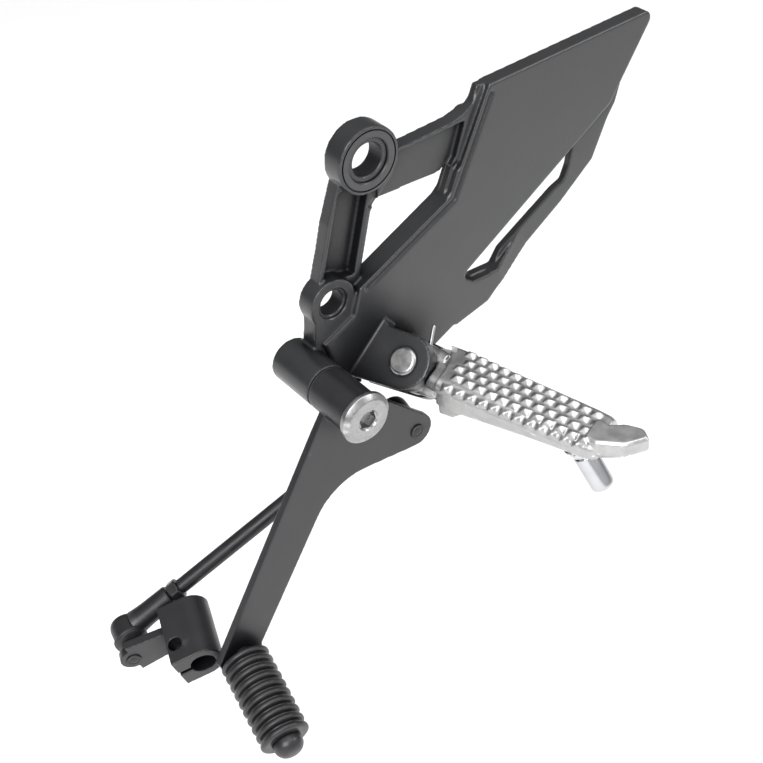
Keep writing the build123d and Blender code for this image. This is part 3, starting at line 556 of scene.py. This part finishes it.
def tooth(along, sideways, up, lean):
    """Pyramid with a blunted tip, turned about the peg's length by a lean."""
    normal = Vector((math.sin(lean), math.cos(lean)))
    ahead = Vector((normal.y, -normal.x))
    rings = []
    for level, size in ((-1.4, 1.0), (-0.1, 0.95), (TOOTH_H, 0.22)):
        ring = []
        for x, y in ((-1, -1), (1, -1), (1, 1), (-1, 1)):
            at = Vector((sideways, up)) + ahead * (y * TOOTH_WIDE / 2 * size) + normal * level
            ring.append(peg_point(along + x * TOOTH_LONG / 2 * size, at.x, at.y))
        rings.append(ring)
    return loft("tooth", rings)


def make_teeth():
    """Four staggered rows over the tread and one on the shoulder that faces the toe."""
    teeth = []
    for row in range(SHOULDER_ROW, 3):
        stagger = 0.7 if row % 2 else 0.3
        for column in range(TEETH_IN_ROW):
            along = TREAD_START + 3.0 + TOOTH_PITCH * (column + stagger)
            half, top = body_measures(along)
            if row == SHOULDER_ROW:
                teeth.append(tooth(along, body_middle(along) - half + 0.9, top - 2.4, -0.9))
            else:
                sideways = ROW_MIDDLE + ROW_LEAN * (along - TREAD_START) + row * ROW_PITCH
                teeth.append(tooth(along, sideways, top, 0.0))
    return join("teeth", teeth)


def lug_ring(along, half, tall):
    """Rounded rectangle across the peg, in line with its fold axis."""
    corners = []
    for step in range(24):
        turn = 2 * math.pi * step / 24
        x = math.copysign(abs(math.cos(turn)) ** 0.5, math.cos(turn)) * half
        y = math.copysign(abs(math.sin(turn)) ** 0.5, math.sin(turn)) * tall
        corners.append(PEG_PIVOT + PEG_DIR * along + FOLD_AXIS * x + PEG_UP * y)
    return corners


def flat_ring(outline, up):
    """Outline of (distance, sideways) points at one level, with its corners rounded."""
    return [peg_point(along, side, up) for along, side in rounded([(*point, 1.6) for point in outline], 3)]


def make_peg():
    body = loft("foot_peg_skin", [body_ring(*station) for station in STATIONS])
    # the tread ends in an arc round the clevis
    arc = [(-30, 0), (-30, TREAD_ARC_R), (30, TREAD_ARC_R), (30, 0)]
    around = lathe("around", arc, PEG_PIVOT, FOLD_AXIS)
    combine(body, [around], "DIFFERENCE")
    combine(body, [make_teeth()], "UNION")
    neck = loft("neck", [body_ring(*station) for station in NECK_STATIONS])
    stop = [[peg_point(along, side, up) for along, up in STOP] for side in (-STOP_HALF, STOP_HALF)]
    nub = [flat_ring(*level) for level in ((NUB_FOOT, -6.0), (NUB, -0.5), (NUB, 5.4), (NUB_TOP, 6.6))]
    # room for the two ears of the clevis
    rooms = []
    for low in (-16.5, 7.0):
        high = low + 9.5
        room = [(low, 0), (low, CLEVIS_ROOM_R), (high, CLEVIS_ROOM_R), (high, 0)]
        rooms.append(lathe("room", room, PEG_PIVOT, FOLD_AXIS))
    combine(neck, rooms, "DIFFERENCE")
    lug = [(-7.0, 0), (-7.0, 12.2, 0.8), (7.0, 12.2, 0.8), (7.0, 0)]
    parts = [
        lathe("lug", rounded(lug), PEG_PIVOT, FOLD_AXIS),
        loft("throat", [lug_ring(*ring) for ring in ((0, 7.0, 11.6), (11, 7.0, 11.4), (15, 7.0, 10.4))]),
        neck,
        loft("stop", stop),
        loft("nub", nub),
    ]
    combine(body, parts, "UNION")
    cast(body, voxel=0.36, passes=3)
    # the spring's coils sit in a slot, and its leg has a narrow slot of its own
    slot_side, coil_room = 3.2, 7.2
    slot = [PEG_PIVOT + PEG_DIR * x + PEG_UP * y for x, y in
            ((-coil_room, 0), (coil_room, 0), (coil_room, 16), (-coil_room, 16))]
    leg = [(-1.5, 0), (3.5, -7), (21.0, 4.5), (19.5, 9.0), (15.0, 15.4), (8.0, 20.0), (-1.5, 21.4)]
    leg = [PEG_PIVOT + PEG_DIR * x + PEG_UP * y for x, y in leg]
    tools = [
        lathe("bore", [(-12, 0), (-12, 4.0), (12, 4.0), (12, 0)], PEG_PIVOT, FOLD_AXIS),
        loft("slot", [[point + FOLD_AXIS * side for point in slot] for side in (-slot_side, slot_side)]),
        lathe("slot", [(-slot_side, 0), (-slot_side, coil_room), (slot_side, coil_room), (slot_side, 0)],
              PEG_PIVOT, FOLD_AXIS),
        loft("slot", [[point + FOLD_AXIS * side for point in leg] for side in (0.03, 3.03)]),
    ]
    combine(body, tools, "DIFFERENCE")
    thin_out(body, ratio=0.6)
    shade(body, angle=40)
    finish_piece(body, CAST_ALUMINIUM, "cast_aluminium", "peg", "foot_peg")


FEELER_AT, FEELER_DROP = 83.0, 11.1
FEELER_TILT = math.radians(29)


def make_feeler():
    """Chromed feeler: flange, hexagon, waist and a pin with a rounded end."""
    up = TREAD_UP * math.cos(FEELER_TILT) - PEG_DIR * math.sin(FEELER_TILT)
    base = PEG_PIVOT + PEG_DIR * FEELER_AT - TREAD_UP * FEELER_DROP
    profile = [(0.2, 0), (0.2, 7.2), (1.2, 7.4, 0.4), (1.6, 6.5, 0.2)]
    waist_and_pin = [(4.7, 4.8), (5.6, 4.8, 0.4), (6.2, 5.6, 0.5), (20.0, 5.6), (25.0, 5.5, 4.0), (25.0, 0)]
    profile = rounded(profile) + hex_head(11.2, 1.7, 4.6, 0.7) + rounded(waist_and_pin, 8)
    feeler = lathe("peg_feeler_pin", profile, base, -up, steps=96)
    shade(feeler, 35)
    finish_piece(feeler, CHROME, "chrome", "peg", "peg_feeler")


# ---------------------------------------------------------------- clevis pin and spring
def make_pin_set():
    """Headed pin of the peg, with the washer and the split pin on its hidden end."""
    head = [(-20.5, 0), (-20.5, 3.5, 0.3), (-20.0, 3.94, 0.3), (15.15, 3.94), (15.15, 6.8, 0.4),
            (16.6, 6.8, 0.6), (17.5, 5.6, 0.6), (17.5, 0)]
    pin = lathe("pivot_pin_head", rounded(head), PEG_PIVOT, FOLD_AXIS)
    shade(pin, 35)
    finish_piece(pin, ZINC, "zinc_steel", "bracket", "peg_pivot_pin")
    ring = [(-15.25, 4.05), (-15.25, 7.0, 0.2), (-16.2, 7.0, 0.2), (-16.2, 4.05)]
    washer = lathe("pivot_pin_washer", rounded(ring), PEG_PIVOT, FOLD_AXIS)
    shade(washer, 35)
    finish_piece(washer, ZINC, "zinc_steel", "bracket", "peg_pin_washer")
    # split pin: an eye and two legs bent apart
    centre = PEG_PIVOT - FOLD_AXIS * 18.35

    def at(along, up):
        return centre + PEG_DIR * along + PEG_UP * up

    turns = [math.pi * 0.04 + math.pi * 0.86 * i / 12 for i in range(13)]
    shells = []
    for side in (-1, 1):
        points = [at(side * 2.4 * math.sin(t), 8.2 + 2.2 * math.cos(t)) for t in turns]
        points += [at(side * 0.45, 4.6), at(side * 0.45, -4.4), at(side * 1.2, -5.6), at(side * 2.8, -6.6)]
        shells.append(tube("wire", points, 0.42, 10))
    clip = join("split_pin", shells)
    shade(clip, 40)
    finish_piece(clip, ZINC, "zinc_steel", "bracket", "peg_pin_clip")


def make_spring():
    """Torsion spring round the peg's pin, with a leg that stands up behind the clevis."""
    points = []
    coils, steps, radius, pitch = 3, 28, 5.5, 1.85
    for index in range(coils * steps + 1):
        turn = 2 * math.pi * index / steps
        side = -pitch * coils / 2 + pitch * index / steps
        points.append(PEG_PIVOT + FOLD_AXIS * (side - 0.6) + PEG_DIR * radius * math.cos(turn)
                      + PEG_UP * radius * math.sin(turn))
    foot = points[-1]
    tip = PEG_PIVOT + FOLD_AXIS * 1.6 + PEG_DIR * 1.2 + PEG_UP * 20
    for index in range(1, 11):
        points.append(foot.lerp(tip, index / 10))
    spring = tube("torsion_spring", points, 0.85, 14)
    shade(spring, 60)
    finish_piece(spring, ZINC, "zinc_steel", "bracket", "peg_return_spring")


# ---------------------------------------------------------------- shift lever and toe peg
def make_lever():
    """Lever from the CAD shape with softened edges and a bore cut anew."""
    lever = cad_copy("lever_skin", "shift_lever")
    plug = lathe("plug", [(26.5, 0), (26.5, 9.0), (50.0, 9.0), (50.0, 0)], PIVOT, OUTBOARD)
    combine(lever, [plug], "UNION")
    cast(lever, voxel=0.45, passes=4)
    bore = [(20, 0), (20, 8.1), (25.0, 8.6), (26.3, 8.1), (50.0, 8.1), (51.0, 8.6), (56, 8.6), (56, 0)]
    combine(lever, [lathe("bore", bore, PIVOT, OUTBOARD, steps=128)], "DIFFERENCE")
    thin_out(lever, ratio=0.5)
    shade(lever, angle=40)
    finish_piece(lever, BLACK_STEEL, "black_steel", "lever", "shift_lever")


RUBBER_START, RUBBER_END, RUBBER_GAP = 1.6, 46.6, 0.3


def make_toe_peg():
    """Toe peg: stem with an end knob, and a ribbed rubber that is cut flat beside the lever."""
    end = RUBBER_END
    base = [(-5.5, 0), (-5.5, 5.0, 0.4), (-5.0, 5.5), (end - 0.3, 5.5), (end - 0.3, 7.0),
            (end + 0.1, 7.2, 0.2), (end + 3.6, 7.1, 2.0), (end + 6.6, 4.6, 2.4), (end + 7.3, 0)]
    spigot = lathe("toe_spigot_core", rounded(base, 6), TOE, TOE_DIR)
    shade(spigot, 35)
    finish_piece(spigot, BLACK_STEEL, "black_steel", "lever", "toe_spigot")
    profile = [(RUBBER_START, 5.6)]
    ribs, pitch = 10, 4.6
    for rib in range(ribs):
        low = RUBBER_START + rib * pitch
        profile += [(low, 11.2, 1.2), (low + 0.7, 12.0, 0.8), (low + 2.1, 12.0, 0.8), (low + 2.8, 11.2, 1.2)]
        if rib < ribs - 1:
            profile += [(low + 3.1, 9.3, 0.7), (low + pitch - 0.3, 9.3, 0.7)]
    profile += [(RUBBER_END - 0.5, 10.2, 0.8), (RUBBER_END - 0.5, 5.6)]
    rubber = lathe("toe_rubber_sleeve", rounded(profile), TOE, TOE_DIR, steps=128)
    flat = lathe("flat", [(-25, 0), (-25, 30), (RUBBER_GAP, 30), (RUBBER_GAP, 0)], TOE, OUTBOARD)
    combine(rubber, [flat], "DIFFERENCE")
    shade(rubber, 50)
    finish_piece(rubber, RUBBER, "rubber", "lever", "toe_rubber")


def make_pivot_set():
    """Flanged bolt of the lever, with its washer, two seals and the bush."""
    profile = [(2.0, 0), (2.0, 3.4, 0.3), (3.0, 4.0), (50.8, 4.0), (50.8, 12.2, 0.3), (51.4, 12.5, 0.3),
               (53.2, 12.5, 0.4), (55.3, 10.2, 0.5), (55.3, 5.2), (54.7, 4.7)]
    profile = rounded(profile) + [(54.5, hexagon(8.0)), (51.3, hexagon(8.0)), (50.6, 0)]
    bolt = lathe("pivot_bolt_head", profile, PIVOT, OUTBOARD, steps=96, start=(1, 0, 0.25))
    shade(bolt, 30)
    finish_piece(bolt, ZINC, "zinc_steel", "bracket", "pivot_bolt")
    rings = (
        ("pivot_washer_ring", "pivot_washer", BLACK_HARDWARE, "black_steel", 25.05, 25.75, 4.2, 10.35),
        ("pivot_seal_ring_inner", "pivot_seal_inner", RUBBER, "rubber", 27.35, 29.05, 6.85, 8.0),
        ("pivot_seal_ring_outer", "pivot_seal_outer", RUBBER, "rubber", 47.25, 48.95, 6.85, 8.0),
    )
    for name, node, material, slot, low, high, inner, outer in rings:
        loop = [(low, inner), (low, outer, 0.2), (high, outer, 0.2), (high, inner)]
        ring = lathe(name, rounded(loop), PIVOT, OUTBOARD)
        shade(ring, 35)
        finish_piece(ring, material, slot, "bracket", node)
    bush = [(25.85, 4.25), (25.85, 7.9, 0.2), (27.2, 7.95), (27.2, 6.8), (29.2, 6.8), (29.2, 7.95),
            (47.1, 7.95), (47.1, 6.8), (49.1, 6.8), (49.1, 7.95), (50.75, 7.9, 0.2), (50.75, 4.25)]
    sleeve = lathe("pivot_bush_sleeve", rounded(bush), PIVOT, OUTBOARD)
    shade(sleeve, 35)
    finish_piece(sleeve, ZINC, "zinc_steel", "bracket", "pivot_bush")


# ---------------------------------------------------------------- link rod
def socket_axis(rod_dir):
    """Axis of a ball socket: square to the rod and as near outboard as that allows."""
    return (OUTBOARD - rod_dir * OUTBOARD.dot(rod_dir)).normalized()


def make_link_end(end, ball, rod_dir, stud_axis, plate, plate_t, stud_body):
    """Ball stud staked into a plate that starts at plate, and its socket, rubber cover and lock nut."""
    housing_axis = socket_axis(rod_dir)
    tip = plate + plate_t
    stud = [(-4.9, 0), (-4.6, 1.9), (-3.6, 3.5), (-2.0, 4.55), (0, 5.0), (2.0, 4.55), (3.6, 3.5), (4.4, 2.6),
            (plate - 2.6, 2.6), (plate - 2.6, 4.6, 0.3), (plate - 0.02, 4.6, 0.3), (plate - 0.02, 2.97),
            (tip + 0.1, 2.97), (tip + 0.1, 3.6, 0.2), (tip + 0.8, 3.4, 0.3), (tip + 0.55, 2.2, 0.2),
            (tip + 0.75, 1.4, 0.3), (tip + 0.75, 0)]
    piece = lathe(f"{end}_stud", rounded(stud), ball, stud_axis, steps=64)
    shade(piece, 35)
    finish_piece(piece, BLACK_HARDWARE, "black_steel", stud_body, f"{end}_ball_stud")
    # housing with its shank
    cup = [(-6.0, 0), (-6.0, 4.6, 0.8), (-5.0, 6.8, 1.2), (-2.6, 7.6, 1.2), (4.6, 7.6, 0.5), (6.4, 6.9, 0.4),
           (6.4, 4.75), (2.2, 5.0), (-2.0, 4.8), (-4.0, 3.2), (-5.1, 0)]
    housing = lathe(f"{end}_socket", rounded(cup), ball, housing_axis, steps=80)
    shank = rounded([(5.9, 0), (5.9, 6.4), (12.0, 5.8, 3.0), (26.8, 5.6, 0.4), (28.0, 5.0, 0.3), (28.0, 0)])
    combine(housing, [lathe("shank", shank, ball, rod_dir, steps=64)], "UNION")
    shade(housing, 35)
    finish_piece(housing, BLACK_HARDWARE, "black_steel", "link_rod", f"{end}_ball_socket")
    # rubber cover
    boot = [(5.0, 7.65), (5.0, 8.4, 0.3), (6.2, 8.4, 0.3), (6.6, 7.8, 0.2), (7.2, 8.2, 0.4), (8.4, 6.4, 0.8),
            (9.6, 4.4, 0.3), (9.6, 3.0), (8.6, 3.2), (7.3, 6.2), (6.5, 6.9), (6.5, 7.65)]
    cover = lathe(f"{end}_cover", rounded(boot), ball, housing_axis, steps=64)
    shade(cover, 50)
    finish_piece(cover, RUBBER, "rubber", "link_rod", f"{end}_boot")
    nut = [(29.0, 3.05)] + hex_head(10.0, 29.0, 34.0, 0.8) + [(34.0, 3.05)]
    lock = lathe(f"{end}_nut", nut, ball, rod_dir, steps=48)
    shade(lock, 25)
    finish_piece(lock, BLACK_HARDWARE, "black_steel", "link_rod", f"{end}_lock_nut")


def make_rod():
    """Link rod with an M6 thread at each end."""
    start, shoulder = 18.0, 34.3
    thread_r, thread_depth, thread_pitch, core_r, rod_r = 2.98, 0.5, 1.0, 2.5, 3.8
    thread = (thread_r, thread_depth, thread_pitch)
    profile = [(start, 0), (start, core_r)]
    profile += thread_rings(start + 0.2, shoulder, *thread)
    profile += rounded([(shoulder + 0.2, rod_r, 0.2), (ROD_SPAN - shoulder - 0.2, rod_r, 0.2)])
    profile += thread_rings(ROD_SPAN - shoulder, ROD_SPAN - start - 0.2, *thread)
    profile += [(ROD_SPAN - start, core_r), (ROD_SPAN - start, 0)]
    rod = lathe("link_rod_bar", profile, UPPER_BALL, ROD_DIR, steps=48)
    shade(rod, 35)
    finish_piece(rod, BLACK_HARDWARE, "black_steel", "link_rod", "shift_rod")


def make_arm():
    """Shift arm from the CAD shape with softened edges."""
    arm = cad_copy("clamp_arm", "shift_arm")
    cast(arm, voxel=0.34, passes=3)
    thin_out(arm, ratio=0.5)
    shade(arm, angle=40)
    finish_piece(arm, BLACK_STEEL, "black_steel", "arm", "shift_arm")


make_bracket()
make_peg()
make_feeler()
make_pin_set()
make_spring()
make_lever()
make_toe_peg()
make_pivot_set()
make_link_end("upper", UPPER_BALL, ROD_DIR, OUTBOARD, 12.5, 4.0, "lever")
make_link_end("lower", LOWER_BALL, -ROD_DIR, ARM_AXIS, 13.0, 4.5, "arm")
make_rod()
make_arm()


# ---------------------------------------------------------------- stage, light and camera
FLOOR_DROP, FLOOR_SIZE = 110, 3000


def make_floor():
    """Pale floor well below the footrest, which hangs as it does on the motorcycle."""
    low = CAD_BOX[0].z / MM - FLOOR_DROP
    size = FLOOR_SIZE
    corners = [(-size, -size, low), (size, -size, low), (size, size, low), (-size, size, low)]
    floor = mesh_object("floor", corners, [(0, 1, 2, 3)])
    material = bpy.data.materials.new("floor")
    material.use_nodes = True
    shader = material.node_tree.nodes["Principled BSDF"]
    shader.inputs["Base Color"].default_value = (0.93, 0.93, 0.93, 1)
    shader.inputs["Roughness"].default_value = 0.9
    floor.data.materials.append(material)


def add_lamp(name, position, target, size, power):
    """A square lamp in metres and watts that faces a target."""
    data = bpy.data.lights.new(name, "AREA")
    data.shape = "SQUARE"
    data.size = size
    data.energy = power
    lamp = bpy.data.objects.new(name, data)
    lamp.location = position
    lamp.rotation_euler = (Vector(target) - Vector(position)).to_track_quat("-Z", "Y").to_euler()
    bpy.context.scene.collection.objects.link(lamp)


def make_light():
    """Soft light: a large lamp overhead, one on each side, one on the peg's floor, and a pale room."""
    middle = (CAD_BOX[0] + CAD_BOX[1]) / 2
    add_lamp("key", (-0.9, -0.6, 0.7), middle, 0.9, 18)
    add_lamp("fill", (0.9, -0.9, 0.5), middle, 1.0, 1.5)
    add_lamp("top", (0.1, -0.5, 1.8), (0.1, -0.2, -0.3), 1.3, 13)
    add_lamp("pool", (0.45, -0.40, 0.35), (0.42, -0.36, -0.27), 0.25, 1.6)
    world = bpy.data.worlds.new("studio")
    world.use_nodes = True
    nodes, links = world.node_tree.nodes, world.node_tree.links
    backdrop = nodes["Background"]
    backdrop.inputs["Color"].default_value = (1, 1, 1, 1)
    # the room is brightest overhead and in front, and darker behind the footrest
    direction, facing = nodes.new("ShaderNodeTexCoord"), nodes.new("ShaderNodeVectorMath")
    facing.operation = "DOT_PRODUCT"
    facing.inputs[1].default_value = (-0.2, -0.6, 0.77)
    fall = nodes.new("ShaderNodeMapRange")
    links.new(direction.outputs["Generated"], facing.inputs[0])
    links.new(facing.outputs["Value"], fall.inputs["Value"])
    for key, value in (("From Min", -0.2), ("From Max", 0.8), ("To Min", 0.22), ("To Max", 1.0)):
        fall.inputs[key].default_value = value
    links.new(fall.outputs["Result"], backdrop.inputs["Strength"])
    bpy.context.scene.world = world


CAMERA_AZIMUTH, CAMERA_ELEVATION = math.radians(-38), math.radians(37.3)
CAMERA_PLACE = (-0.3402, -0.4548, 0.3092)
SENSOR_WIDTH, LENS = 36, 70.7733


def make_camera():
    """Looks down from the outboard side, at the footrest as it hangs on the motorcycle."""
    data = bpy.data.cameras.new("camera")
    data.sensor_width = SENSOR_WIDTH
    data.lens = LENS
    camera = bpy.data.objects.new("camera", data)
    camera.location = CAMERA_PLACE
    camera.rotation_euler = (math.pi / 2 - CAMERA_ELEVATION, 0, CAMERA_AZIMUTH)
    bpy.context.scene.collection.objects.link(camera)
    bpy.context.scene.camera = camera
    bpy.context.scene.view_settings.view_transform = "Standard"


make_floor()
make_light()
make_camera()
